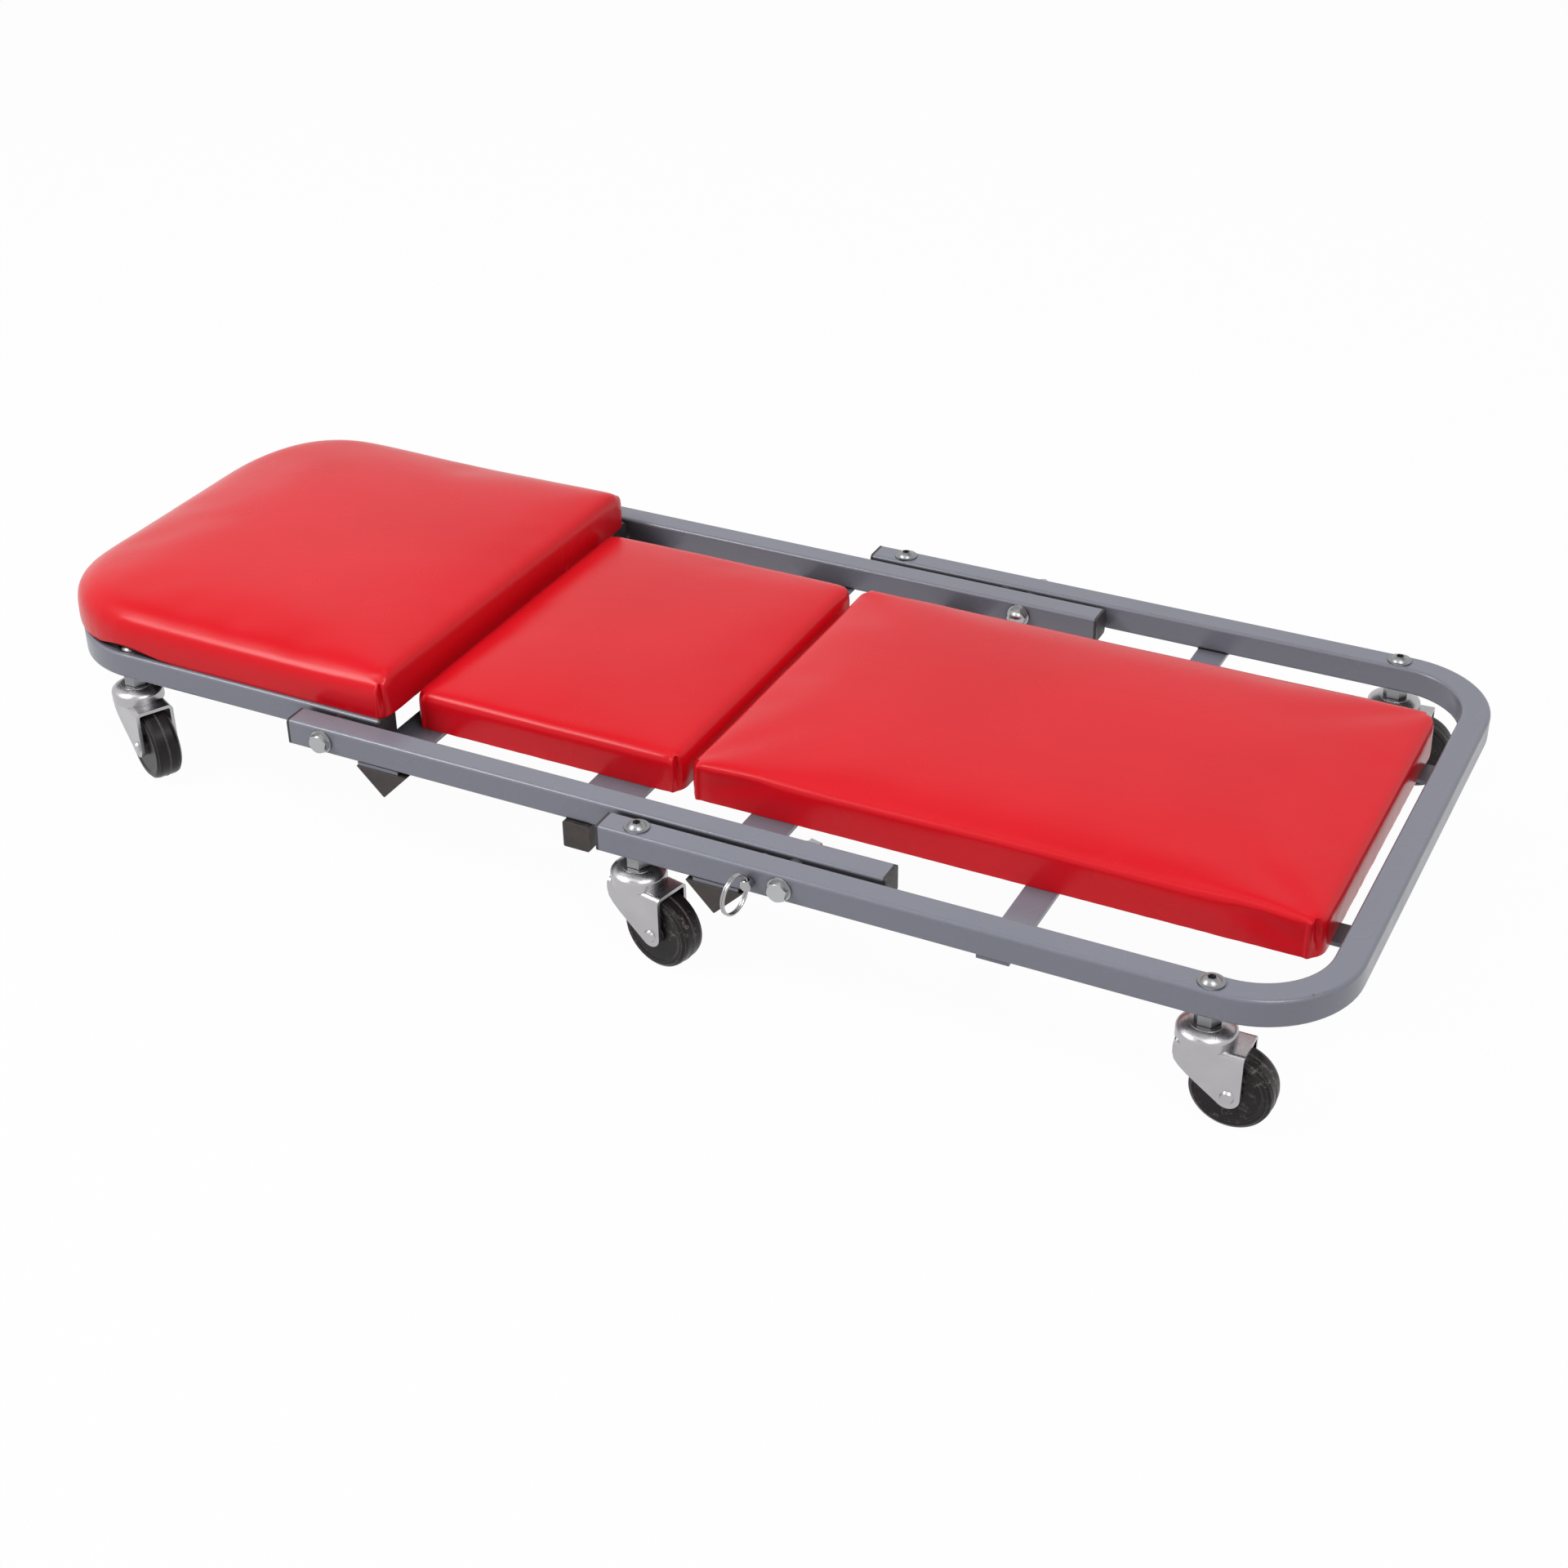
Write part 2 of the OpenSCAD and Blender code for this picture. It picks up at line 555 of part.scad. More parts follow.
// Pressed fork: sheet bent to an arch and cut to its side shape, with the
// domed cup on top and the riveted axle
module caster_fork(x, y, swing) {
    c = [trail, axle_z];
    low_r = 8;
    toe_x = trail + low_r;
    heel_x = -16;
    shelf = fork_top_z + fork_t;
    half = fork_gap + fork_t;
    knee = [heel_x + 10, axle_z + 9];
    a1 = tangent_angle(knee, c, low_r, 1);
    color([0.78, 0.78, 0.8]) translate([x, y, 0]) rotate(swing) {
        difference() {
            intersection() {
                translate([heel_x, 0, 0]) rotate([90, 0, 90]) linear_extrude(toe_x - heel_x) difference() {
                    arch(half, shelf, fork_t + 1.5);
                    translate([0, -1]) arch(fork_gap, fork_top_z + 1, 1.5);
                }
                rotate([90, 0, 0]) linear_extrude(2 * half + 2, center = true) {
                    polygon([[heel_x, shelf + 1], [heel_x, shelf - 8], [heel_x + 1.2, shelf - 13], [heel_x + 4.4, axle_z + 14],
                        knee, c + low_r * [cos(a1), sin(a1)], c, [toe_x, axle_z], [toe_x, shelf + 1]]);
                    translate(c) circle(low_r);
                }
            }
            translate([0, 0, fork_top_z - 1]) cylinder(h = fork_t + 2, r = 10);
        }
        rotate_extrude($fn = 64) difference() {
            union() {
                translate([0, shelf - 1]) square([cup_r, 6]);
                translate([0, shelf + 5]) intersection() {
                    scale([1, 0.36]) circle(cup_r, $fn = 64);
                    square([cup_r, cup_top_z - shelf - 5]);
                }
                translate([0, shelf + 4]) square([11.5, cup_top_z - shelf - 4]);
            }
            square([stem_bore_r, 100]);
            translate([0, shelf - 2]) square([cup_r - 2.2, 6]);
            translate([0, shelf + 2]) square([12, cup_top_z - shelf - 4.4]);
        }
        translate([trail, 0, axle_z]) rotate([90, 0, 0]) {
            cylinder(h = 2 * (fork_gap + fork_t), r = axle_r, center = true);
            for (side = [0, 1]) mirror([0, 0, side]) translate([0, 0, fork_gap + fork_t])
                cylinder(h = 1.6, r1 = 4.6, r2 = 3.6);
        }
    }
}

// Hard rubber wheel with a raised mould line round the tread
module caster_wheel(x, y, swing) {
    half = wheel_w / 2;
    r = wheel_d / 2;
    color([0.1, 0.09, 0.09]) translate([x, y, 0]) rotate(swing) translate([trail, 0, axle_z]) rotate([90, 0, 0])
        rotate_extrude($fn = 96) polygon([
            [axle_r + run_clear, -half - 1], [7, -half - 1], [7.6, -half + 0.6], [r - 7, -half + 0.6], [r - 5.6, -half], [r - 3.2, -half],
            [r - 1, -half + 1.6], [r - 0.35, -half + 4], [r - 0.35, -0.6], [r, -0.3], [r, 0.3], [r - 0.35, 0.6],
            [r - 0.35, half - 4], [r - 1, half - 1.6], [r - 3.2, half], [r - 5.6, half], [r - 7, half - 0.6], [7.6, half - 0.6],
            [7, half + 1], [axle_r + run_clear, half + 1]]);
}

inner_x = foot_open_x + foot_caster_in;
outer_x = foot_open_x + foot_caster_out;

module stem_inner_near() { caster_stem(inner_x, -foot_mid_y); }
module stem_inner_far() { caster_stem(inner_x, foot_mid_y); }
module stem_outer_near() { caster_stem(outer_x, -foot_mid_y); }
module stem_outer_far() { caster_stem(outer_x, foot_mid_y); }
module stem_head_near() { caster_stem(head_caster_x, -head_mid_y); }
module stem_head_far() { caster_stem(head_caster_x, head_mid_y); }

module fork_inner_near() { caster_fork(inner_x, -foot_mid_y, swing_inner_near); }
module fork_inner_far() { caster_fork(inner_x, foot_mid_y, swing_inner_far); }
module fork_outer_near() { caster_fork(outer_x, -foot_mid_y, swing_outer_near); }
module fork_outer_far() { caster_fork(outer_x, foot_mid_y, swing_outer_far); }
module fork_head_near() { caster_fork(head_caster_x, -head_mid_y, swing_head_near); }
module fork_head_far() { caster_fork(head_caster_x, head_mid_y, swing_head_far); }

module wheel_inner_near() { caster_wheel(inner_x, -foot_mid_y, swing_inner_near); }
module wheel_inner_far() { caster_wheel(inner_x, foot_mid_y, swing_inner_far); }
module wheel_outer_near() { caster_wheel(outer_x, -foot_mid_y, swing_outer_near); }
module wheel_outer_far() { caster_wheel(outer_x, foot_mid_y, swing_outer_far); }
module wheel_head_near() { caster_wheel(head_caster_x, -head_mid_y, swing_head_near); }
module wheel_head_far() { caster_wheel(head_caster_x, head_mid_y, swing_head_far); }

foot_frame();
link_frame();
head_frame();
foot_plug_near();
foot_plug_far();
link_plug_head_near();
link_plug_head_far();
link_plug_foot_near();
link_plug_foot_far();
head_plug_near();
head_plug_far();
foot_wedge_near();
foot_wedge_far();
link_wedge_near();
link_wedge_far();
bump_block_near();
bump_block_far();
foot_bolt_near();
foot_bolt_far();
head_bolt_near();
head_bolt_far();
foot_spacer_near();
foot_spacer_far();
head_spacer_near();
head_spacer_far();
foot_nut_near();
foot_nut_far();
head_nut_near();
head_nut_far();
lock_pin_near();
lock_pin_far();
split_ring_near();
split_ring_far();
long_board();
mid_board();
head_board();
long_pad();
mid_pad();
head_pad();
stem_inner_near();
stem_inner_far();
stem_outer_near();
stem_outer_far();
stem_head_near();
stem_head_far();
fork_inner_near();
fork_inner_far();
fork_outer_near();
fork_outer_far();
fork_head_near();
fork_head_far();
wheel_inner_near();
wheel_inner_far();
wheel_outer_near();
wheel_outer_far();
wheel_head_near();
wheel_head_far();
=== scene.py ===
"""Folding creeper stool: looks, pads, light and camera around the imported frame."""
import json
import math

import bpy
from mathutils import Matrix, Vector, noise


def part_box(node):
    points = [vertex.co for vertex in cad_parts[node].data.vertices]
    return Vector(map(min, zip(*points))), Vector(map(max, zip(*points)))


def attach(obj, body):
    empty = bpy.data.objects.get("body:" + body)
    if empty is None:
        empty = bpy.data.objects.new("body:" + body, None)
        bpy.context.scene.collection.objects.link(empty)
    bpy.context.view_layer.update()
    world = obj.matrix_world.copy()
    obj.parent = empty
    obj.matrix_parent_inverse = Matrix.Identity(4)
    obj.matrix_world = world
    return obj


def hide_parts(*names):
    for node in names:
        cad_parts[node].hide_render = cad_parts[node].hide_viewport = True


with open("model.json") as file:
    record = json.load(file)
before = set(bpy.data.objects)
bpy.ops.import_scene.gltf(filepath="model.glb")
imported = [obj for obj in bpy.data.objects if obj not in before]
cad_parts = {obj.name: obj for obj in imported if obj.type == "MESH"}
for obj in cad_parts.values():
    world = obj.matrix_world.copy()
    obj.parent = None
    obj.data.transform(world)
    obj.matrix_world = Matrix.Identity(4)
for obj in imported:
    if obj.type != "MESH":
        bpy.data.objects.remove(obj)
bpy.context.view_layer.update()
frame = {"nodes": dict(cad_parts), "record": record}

MM = 0.001
X, Y, Z = range(3)
SIDES = {"near": -1, "far": 1}          # the sign of Y on each side

# Camera: place, aim, roll and focal length, for a square image
CAMERA_AT = Vector((0.74254, -1.39100, 0.98637))
CAMERA_AIM = Vector((0.10296, -0.12609, 0.0970))
CAMERA_ROLL = math.radians(-0.7262)
CAMERA_LENS = 57.406
SENSOR_WIDTH = 36.0
NEAREST_SEEN = 0.02

# How far the vinyl may stand outside its solid
VINYL_PROUD = 1.2 * MM
ROLLED_PROUD = 3 * VINYL_PROUD          # where a rolled edge bulges
END_PROUD = 0.4 * MM                    # at an end beside another pad
TOP_PROUD = 1 * MM
END_SLACK = 0.6 * MM                    # added at the ends once the folds are in

# The foam block that a cover is shaped from
FOAM_INSET = 0.3 * MM                   # the block is this much inside its solid
FOAM_BELOW_RIM = 7 * MM                 # it starts lower and is cut off at the rim
FOAM_VOXEL = 4.5 * MM                   # size of the remeshed faces
RIM_ABOVE_BOARD = 0.2 * MM              # the rim, above the board's underside
CORNER_STEPS, EDGE_STEPS, RECESS_STEPS = 14, 5, 16   # faces round each bend

# The soft forms of a cover
CROWN_SHARE = 0.8                       # share of a pad's lift that its crown takes
CROWN_DEPTH = 14 * MM                   # depth of the foam that rises with the crown
CROWN_ALONG, CROWN_ACROSS = 4.0, 3.4    # powers: a higher one keeps more of it flat
HEAD_SLOPE, HEAD_SLOPE_POWER = 75 * MM, 2.2   # the stretch that falls away
ROLL_EASE, ROLL_EASE_OVER = 0.1, 60 * MM      # the roll shrinks by this share there
ROLL_PAST_FOOT = 200 * MM               # its outline runs on, so the foot end stays square
TOP_TURNS, ROLL_TURNS = 18, 14          # rounds of smoothing
TOP_BLEND = 9 * MM                      # the smoothing starts over this width

# The cloth run that fills a cover
SIM_FRAMES = 20
SWELL_CAP = 2.6 * MM                    # farthest that the filling moves a point
HELD_BLEND = 4 * MM                     # height over which the held rim lets go
CLOTH = {
    "quality": 7, "mass": 0.30, "vertex_group_mass": "held",
    "tension_stiffness": 60, "compression_stiffness": 60,
    "shear_stiffness": 40, "bending_stiffness": 12,
    "tension_damping": 20, "compression_damping": 20, "bending_damping": 2,
    "use_pressure": True, "uniform_pressure_force": 1.4,
}

# The gathered corners of a cover; a turn is in radians from the pad's long side
SQUARE_CORNER_R = 30 * MM               # corners of a larger radius stay smooth
TUCK_REACH = 17 * MM                    # how far from a corner the mesh is made finer
TUCK_SKIN = 5 * MM                      # depth of vinyl that moves with a fold
FOLD_OUT = 1.3 * MM                     # how far the upright fold stands out
FOLD_TURN, FOLD_WIDTH = 0.30, 0.17
LOOP_IN = 3.0 * MM                      # how deep the loop beside it lies
LOOP_TURN, LOOP_WIDTH = 0.72, 0.21
GATHER = 0.45 * MM                      # size of the small gathers and pulls
GATHER_HEIGHT = 17 * MM                 # they fade out this far above the rim
RIM_SHARE, PULL_SHARE = 0.92, 0.35      # how far out the gathers and the pulls start

# Room under a pad's lower edge, for its board and for the caster screws
BOARD_CLEAR = 0.4 * MM
RECESS_BELOW = 12 * MM
RECESS_R_LESS = 3 * MM                  # a board's corners are this much tighter
SCREW_ROOM = 6.4 * MM                   # how far the edge rises over a screw
SCREW_ROOM_R = 24 * MM                  # how far round it
SCREW_ROOM_HEIGHT = 16 * MM             # above this height nothing moves

# Flat strips and tabs under the frames, placed as in the part's source
STRIP_THICK = 3 * MM
FOOT_STOP_X, FOOT_LIGHT_X = 0.1019, 0.294
LINK_STOP_X, LINK_MID_X = -0.1762, -0.012
NARROW_HALF, WIDE_HALF = 10 * MM, 20 * MM
TAB_Y, TAB_SCREW_X, TAB_BEAD_X = 0.105, 0.460, 0.4955
LINK_STOP_SCREWS_ON = 9 * MM            # its screws sit this far towards the foot end
FOOT_BEAD_Y, LINK_BEAD_Y = 0.2145, 0.1795
BEAD_R, BEAD_LENGTH = 1.3 * MM, 15 * MM
BEAD_OFF_EDGE = 1.4 * MM                # its middle, past the strip's edge
BEAD_SUNK = 0.4 * MM                    # its middle, below the tube

# Light: place, aim, size and watts of each lamp
OBJECT_MIDDLE = (0.0, 0.0, 0.1)
LAMPS = {
    "overhead_softbox": ((-0.2, -0.75, 2.2), OBJECT_MIDDLE, (2.6, 0.55), 8),
    "top_fill": ((0.1, 0.3, 2.4), OBJECT_MIDDLE, (2.4, 1.0), 6),
    "left_softbox": ((-1.3, -1.1, 1.75), (-0.1, -0.1, 0.1), (1.0, 0.75), 29),
    "right_softbox": ((1.25, -0.9, 2.0), (0.4, 0.0, 0.1), (0.9, 0.8), 22),
}
WORLD_LIGHT, WORLD_SEEN = 0.38, 1.0     # strength as a light, and as seen
CEILING_FROM, CEILING_FULL = 0.70, 0.84  # heights between which the world darkens
CEILING_DARK = 0.8                      # taken off what a mirror sees there
FLOOR_SIZE = 60
FLOOR_WHITE_SHARE = 0.97                # share of plain white where the floor is seen


# ---------------------------------------------------------------- helpers

def deselect_all():
    """Leave nothing selected, so that an operator acts on new work only."""
    if bpy.context.object and bpy.context.object.mode != "OBJECT":
        bpy.ops.object.mode_set(mode="OBJECT")
    bpy.ops.object.select_all(action="DESELECT")


def activate(piece):
    deselect_all()
    piece.select_set(True)
    bpy.context.view_layer.objects.active = piece


def settle(piece, name):
    """Bake a piece's place into its mesh and give it its name."""
    activate(piece)
    bpy.ops.object.transform_apply(location=True, rotation=True, scale=True)
    piece.name = name
    piece.data.name = name
    return piece


def dress(piece, material):
    piece.data.materials.clear()
    piece.data.materials.append(material)


def apply_modifiers(piece):
    activate(piece)
    for modifier in list(piece.modifiers):
        bpy.ops.object.modifier_apply(modifier=modifier.name)


def face_outwards(piece):
    activate(piece)
    bpy.ops.object.mode_set(mode="EDIT")
    bpy.ops.mesh.select_all(action="SELECT")
    bpy.ops.mesh.remove_doubles(threshold=1e-6)
    bpy.ops.mesh.normals_make_consistent(inside=False)
    bpy.ops.object.mode_set(mode="OBJECT")


def smooth(piece, degrees):
    activate(piece)
    bpy.ops.object.shade_smooth_by_angle(angle=math.radians(degrees))


def select_only(piece, kind, wanted):
    """Select the edges or faces that pass the test, and nothing else."""
    bpy.ops.object.mode_set(mode="OBJECT")
    mesh = piece.data
    for group in (mesh.vertices, mesh.edges, mesh.polygons):
        for part in group:
            part.select = False
    for part in mesh.edges if kind == "EDGE" else mesh.polygons:
        if wanted(part):
            part.select = True
    bpy.ops.object.mode_set(mode="EDIT")
    bpy.ops.mesh.select_mode(type=kind)


def select_edges(piece, wanted):
    """Select the edges whose two ends pass the test."""
    def both_ends(edge):
        return wanted(*(piece.data.vertices[i].co for i in edge.vertices))
    select_only(piece, "EDGE", both_ends)


def box_piece(name, low, high, turn=0.0):
    """A box between two corners, turned about its upright axis."""
    deselect_all()
    bpy.ops.mesh.primitive_cube_add(size=1, location=(low + high) / 2)
    box = bpy.context.object
    box.scale = high - low
    box.rotation_euler.z = turn
    return settle(box, name)


def round_uprights(box, head_r, foot_r, segments):
    """Round a box's upright edges, the head end's and the foot end's."""
    mid_x = sum(vertex.co.x for vertex in box.data.vertices) / len(box.data.vertices)
    for at_head, radius in ((True, head_r), (False, foot_r)):
        select_edges(box, lambda a, b: abs(a.z - b.z) > 0.1 * MM and (a.x < mid_x) == at_head)
        bpy.ops.mesh.bevel(offset=radius, offset_type="OFFSET", segments=segments, affect="EDGES")
    bpy.ops.object.mode_set(mode="OBJECT")


def cut_away(piece, cutter):
    """Take the cutter's shape out of the piece, and drop the cutter."""
    cut = piece.modifiers.new("cut", "BOOLEAN")
    cut.operation = "DIFFERENCE"
    cut.solver = "EXACT"
    cut.object = cutter
    apply_modifiers(piece)
    bpy.data.objects.remove(cutter, do_unlink=True)


def ramp(t):
    """Smooth step from 0 to 1."""
    t = min(max(t, 0.0), 1.0)
    return t * t * (3 - 2 * t)


def bell(t):
    """1 at 0, falling away softly on both sides."""
    return math.exp(-t * t)


# -------------------------------------------------------------- materials

class NodeTree:
    """A node tree with short ways to add, set and wire its nodes."""

    def __init__(self, tree):
        self.tree = tree
        self.nodes = tree.nodes

    def add(self, kind, values=None, sources=None, **settings):
        """Add a node. The keys of values and sources name its inputs."""
        node = self.nodes.new(kind)
        for name, value in settings.items():
            setattr(node, name, value)
        for name, value in (values or {}).items():
            node.inputs[name].default_value = value
        for name, source in (sources or {}).items():
            self.tree.links.new(source, node.inputs[name])
        return node

    def band(self, source, low=0.0, high=1.0, to_low=0.0, to_high=1.0):
        """Carry the source's values from low..high over to to_low..to_high."""
        levels = {"From Min": low, "From Max": high, "To Min": to_low, "To Max": to_high}
        return self.add("ShaderNodeMapRange", levels, {"Value": source}).outputs["Result"]

    def calc(self, operation, first, second):
        node = self.add("ShaderNodeMath", sources={0: first, 1: second}, operation=operation)
        return node.outputs["Value"]

    def ray(self, kind):
        return self.add("ShaderNodeLightPath").outputs[kind]

    def background_rays(self):
        """1 for rays that see the background itself or its mirror image."""
        seen = self.ray("Is Camera Ray")
        for kind in ("Is Glossy Ray", "Is Transmission Ray"):
            seen = self.calc("MAXIMUM", seen, self.ray(kind))
        return seen


class Finish(NodeTree):
    """One procedural material on Object coordinates."""

    def __init__(self, name, colour, rough, metal=0.0, specular=0.5):
        self.material = bpy.data.materials.new(name)
        self.material.use_nodes = True
        super().__init__(self.material.node_tree)
        self.shader = self.nodes["Principled BSDF"]
        self.shader.inputs["Base Color"].default_value = (*colour, 1)
        self.shader.inputs["Roughness"].default_value = rough
        self.shader.inputs["Metallic"].default_value = metal
        self.shader.inputs["Specular IOR Level"].default_value = specular
        self.place = self.add("ShaderNodeTexCoord").outputs["Object"]
        self.normal = None

    def feed(self, name, source):
        self.tree.links.new(source, self.shader.inputs[name])

    def paint(self, colour):
        self.feed("Base Color", colour)

    def roughen(self, value):
        self.feed("Roughness", value)

    def bump(self, source, depth, strength):
        """Add relief on top of the relief that is there."""
        node = self.add("ShaderNodeBump", {"Strength": strength, "Distance": depth},
                        {"Height": source})
        if self.normal:
            self.tree.links.new(self.normal, node.inputs["Normal"])
        self.normal = node.outputs["Normal"]
        self.feed("Normal", self.normal)

    def spread(self, stretch):
        node = self.add("ShaderNodeMapping", {"Scale": stretch}, {"Vector": self.place})
        return node.outputs["Vector"]

    def grain(self, scale, detail=3.0, rough=0.55, stretch=(1, 1, 1)):
        """Noise; the scale is in waves per metre."""
        values = {"Scale": scale, "Detail": detail, "Roughness": rough}
        node = self.add("ShaderNodeTexNoise", values, {"Vector": self.spread(stretch)})
        return node.outputs["Fac"]

    def cells(self, scale, stretch=(1, 1, 1)):
        """Distance to the middle of the nearest cell."""
        node = self.add("ShaderNodeTexVoronoi", {"Scale": scale}, {"Vector": self.spread(stretch)},
                        feature="F1")
        return node.outputs["Distance"]

    def blend_colours(self, share, first, second):
        """From the first colour to the second; each is a colour or a socket."""
        node = self.add("ShaderNodeMix", sources={0: share}, data_type="RGBA")
        colour_in = [socket for socket in node.inputs if socket.type == "RGBA"]
        for socket, value in zip(colour_in, (first, second)):
            if isinstance(value, tuple):
                socket.default_value = (*value, 1)
            else:
                self.tree.links.new(value, socket)
        return next(socket for socket in node.outputs if socket.type == "RGBA")

    def painted_shade_in_recesses(self, reach, open_at=0.55, deep_at=0.15):
        """1 deep in a recess and 0 on open surfaces, from ambient occlusion: the mask for painted
        shade.
        """
        shade = self.add("ShaderNodeAmbientOcclusion", {"Distance": reach}, samples=8)
        return self.band(shade.outputs["AO"], open_at, deep_at)

    def edge_wear(self, width):
        """1 on sharp convex edges and 0 elsewhere, from the bevelled normal."""
        bevelled = self.add("ShaderNodeBevel", {"Radius": width}, samples=4).outputs["Normal"]
        plain = self.add("ShaderNodeNewGeometry").outputs["Normal"]
        alike = self.add("ShaderNodeVectorMath", sources={0: bevelled, 1: plain},
                         operation="DOT_PRODUCT")
        return self.band(alike.outputs["Value"], 0.995, 0.90)


def vinyl_finish():
    """Glossy red upholstery vinyl with a fine leather grain."""
    f = Finish("red_vinyl", (0.60, 0.004, 0.010), 0.22, specular=0.22)
    broad = f.band(f.grain(7, 2, 0.5), 0.35, 0.65)
    tint = f.blend_colours(broad, (0.58, 0.004, 0.010), (0.62, 0.005, 0.013))
    pores = f.cells(1100, (1, 1.3, 1.3))
    f.paint(f.blend_colours(f.band(pores, 0.0, 0.30), (0.57, 0.0038, 0.0095), tint))
    f.roughen(f.band(f.grain(20, 1), 0.3, 0.7, 0.25, 0.28))
    soft_waves = f.grain(13, 1, 0.5, (0.6, 1.5, 1))
    creases = f.grain(380, 2, 0.6, (0.30, 1.6, 1))
    f.bump(soft_waves, 0.7 * MM, 0.16)
    f.bump(creases, 0.06 * MM, 0.18)
    f.bump(pores, 0.05 * MM, 0.12)
    return f.material


def frame_finish():
    """Blue-grey powder paint with rust specks, and painted shade that darkens its recesses and the
    gaps between parts.
    """
    f = Finish("frame_paint", (0.17, 0.175, 0.215), 0.36, specular=0.55)
    cloud = f.band(f.grain(11, 1), 0.3, 0.7)
    body = f.blend_colours(cloud, (0.164, 0.170, 0.208), (0.171, 0.176, 0.215))
    specks = f.band(f.cells(24), 0.030, 0.016)
    rusty_places = f.band(f.grain(6, 1), 0.54, 0.58)
    body = f.blend_colours(f.calc("MULTIPLY", specks, rusty_places), body, (0.17, 0.065, 0.035))
    # painted shade: near black where the frame is hemmed in, beside the pads and between the tubes
    f.paint(f.blend_colours(f.painted_shade_in_recesses(45 * MM, 0.76, 0.26), body, (0.030, 0.027, 0.030)))
    f.roughen(f.band(f.grain(35, 1), 0.3, 0.7, 0.24, 0.29))
    f.bump(f.grain(420, 1, 0.5), 0.01 * MM, 0.10)
    return f.material


def plug_finish():
    """Matte black plastic of the tube plugs."""
    f = Finish("black_plug_plastic", (0.022, 0.020, 0.022), 0.52)
    dust = f.band(f.grain(90, 4), 0.35, 0.7)
    f.paint(f.blend_colours(dust, (0.018, 0.016, 0.018), (0.034, 0.031, 0.032)))
    f.roughen(f.band(f.grain(240, 3), 0.3, 0.7, 0.45, 0.62))
    f.bump(f.grain(2200, 2), 0.04 * MM, 0.4)
    return f.material


def block_finish():
    """Dull black rubber of the stop and bump blocks, with brownish dust."""
    f = Finish("stop_block_rubber", (0.03, 0.025, 0.023), 0.62)
    dust = f.band(f.grain(55, 6, 0.7), 0.42, 0.75)
    body = f.blend_colours(dust, (0.022, 0.018, 0.018), (0.070, 0.052, 0.042))
    f.paint(f.blend_colours(f.edge_wear(0.8 * MM), body, (0.10, 0.08, 0.07)))
    f.roughen(f.band(dust, to_low=0.5, to_high=0.8))
    f.bump(f.grain(700, 4, 0.7), 0.12 * MM, 0.5)
    return f.material


def wheel_finish():
    """Hard black rubber with a moulded shine and pale scuffs on the tread."""
    f = Finish("wheel_rubber", (0.014, 0.011, 0.012), 0.30, specular=0.20)
    scratches = f.band(f.grain(230, 6, 0.78), 0.54, 0.63)
    worn_places = f.band(f.grain(30, 3, 0.6), 0.44, 0.60)
    scuffed = f.calc("MULTIPLY", scratches, worn_places)
    cloud = f.band(f.grain(40, 4), 0.3, 0.7)
    body = f.blend_colours(cloud, (0.009, 0.007, 0.008), (0.020, 0.016, 0.017))
    body = f.blend_colours(scuffed, body, (0.16, 0.14, 0.13))
    f.paint(f.blend_colours(f.edge_wear(0.35 * MM), body, (0.24, 0.215, 0.21)))
    f.roughen(f.band(scuffed, to_low=0.32, to_high=0.7))
    f.bump(f.grain(900, 3), 0.03 * MM, 0.3)
    return f.material


def plated_finish(name, colour, rough, stretch=(1, 1, 1), cloud=0.05):
    """Zinc or nickel plating: faint streaks and soft patches, with painted shade darkening its
    sockets and recesses.
    """
    f = Finish(name, colour, rough, metal=1.0)
    dull = tuple(part * (1 - cloud * 2.2) for part in colour)
    body = f.blend_colours(f.band(f.grain(28, 3, 0.5), 0.35, 0.7), colour, dull)
    # painted shade: near black deep in sockets and recesses
    f.paint(f.blend_colours(f.painted_shade_in_recesses(5 * MM), body, (0.03, 0.028, 0.028)))
    streaks = f.grain(700, 2, 0.5, stretch)
    f.roughen(f.band(streaks, 0.3, 0.7, rough * 0.85, rough * 1.15))
    f.bump(streaks, 0.008 * MM, 0.25)
    f.bump(f.grain(60, 1), 0.10 * MM, 0.06)
    return f.material


def board_finish():
    """Black non-woven cover on the underside of the boards."""
    f = Finish("board_cover", (0.02, 0.018, 0.018), 0.9, specular=0.15)
    fibres = f.band(f.grain(500, 4, 0.7), 0.35, 0.7)
    f.paint(f.blend_colours(fibres, (0.014, 0.013, 0.013), (0.040, 0.036, 0.034)))
    f.bump(f.grain(1500, 3, 0.6), 0.15 * MM, 0.6)
    return f.material


STEM_ZINC = plated_finish("caster_screw_zinc", (0.30, 0.305, 0.315), 0.36)
FINISHES = {
    "frame_paint": frame_finish(),
    "black_plastic": plug_finish(),
    "black_rubber": block_finish(),
    "zinc": plated_finish("zinc_fasteners", (0.47, 0.475, 0.485), 0.27),
    "bush_steel": plated_finish("oiled_spacer_steel", (0.10, 0.10, 0.11), 0.40, (1, 6, 1)),
    "ring_steel": plated_finish("nickel_pin_and_ring", (0.42, 0.42, 0.43), 0.20),
    "board": board_finish(),
    "red_vinyl": vinyl_finish(),
    "chrome_fork": plated_finish("pressed_fork_zinc", (0.47, 0.46, 0.475), 0.30, (1, 1, 4), 0.06),
    "wheel_rubber": wheel_finish(),
}


def dress_cad_nodes():
    """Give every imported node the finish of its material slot."""
    slots = {part["node"]: part["material_slot"] for part in frame["record"]["subparts"]}
    for node, piece in frame["nodes"].items():
        dress(piece, STEM_ZINC if node.startswith("stem_") else FINISHES[slots[node]])


# ------------------------------------------------------------------- pads

